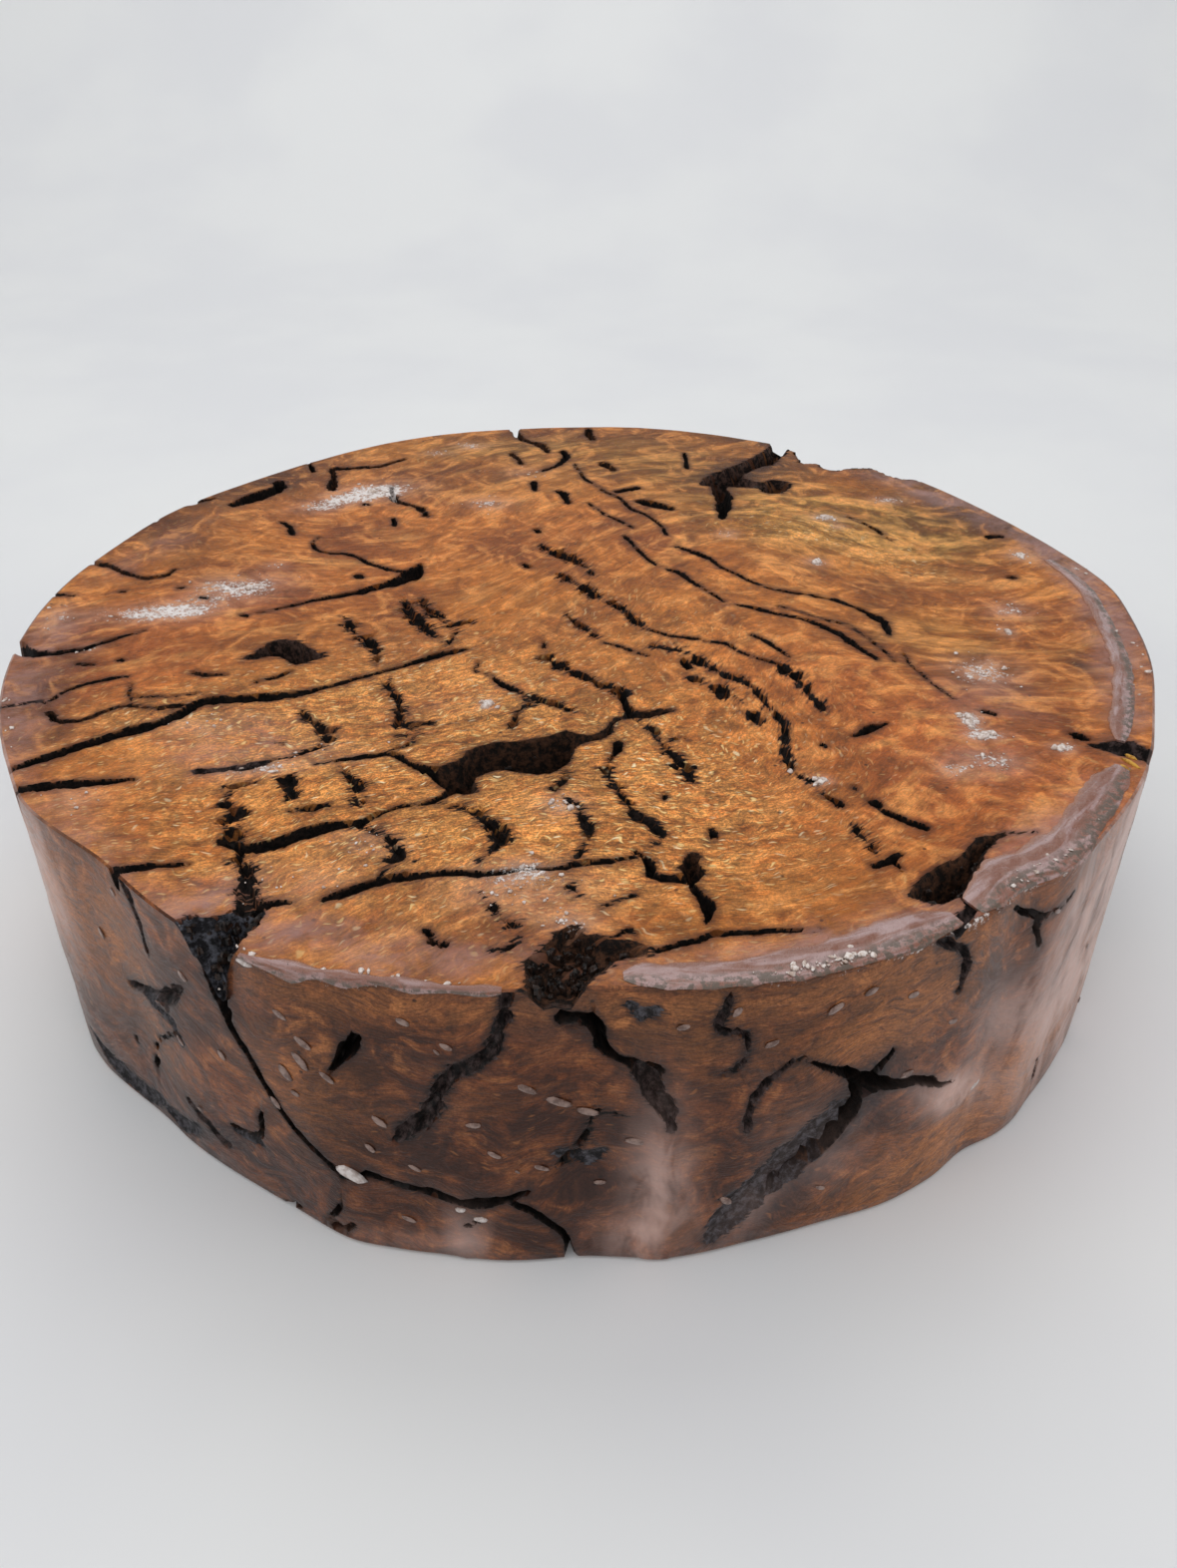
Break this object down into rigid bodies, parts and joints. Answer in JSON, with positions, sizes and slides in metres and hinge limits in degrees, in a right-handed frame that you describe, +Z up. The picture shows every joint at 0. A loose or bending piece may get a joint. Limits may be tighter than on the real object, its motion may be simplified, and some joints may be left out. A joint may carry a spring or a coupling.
{
  "type": "burl bowl blank",
  "caption": "Thick round blank sawn from a tree burl, sealed with wax, with open gum veins, cracks and bark pockets, ready to turn into a bowl.",
  "frame": {"origin": "middle of the flat base, under the middle of the blank's outline", "axes": "+Z up through the disc's thickness, -Y towards the side that the picture shows in front, +X to its right"},
  "size_m": [0.2814, 0.279, 0.0761],
  "materials": {
    "burl_wood": "sawn top, glossy waxed wall",
    "sealing_wax": "milky sealing wax, semi-gloss"
  },
  "bodies": {
    "root": {"burl_blank": "burl_wood", "wax_lip_front": "sealing_wax", "wax_lip_right": "sealing_wax", "wax_lip_far": "sealing_wax"}
  },
  "joints": []
}
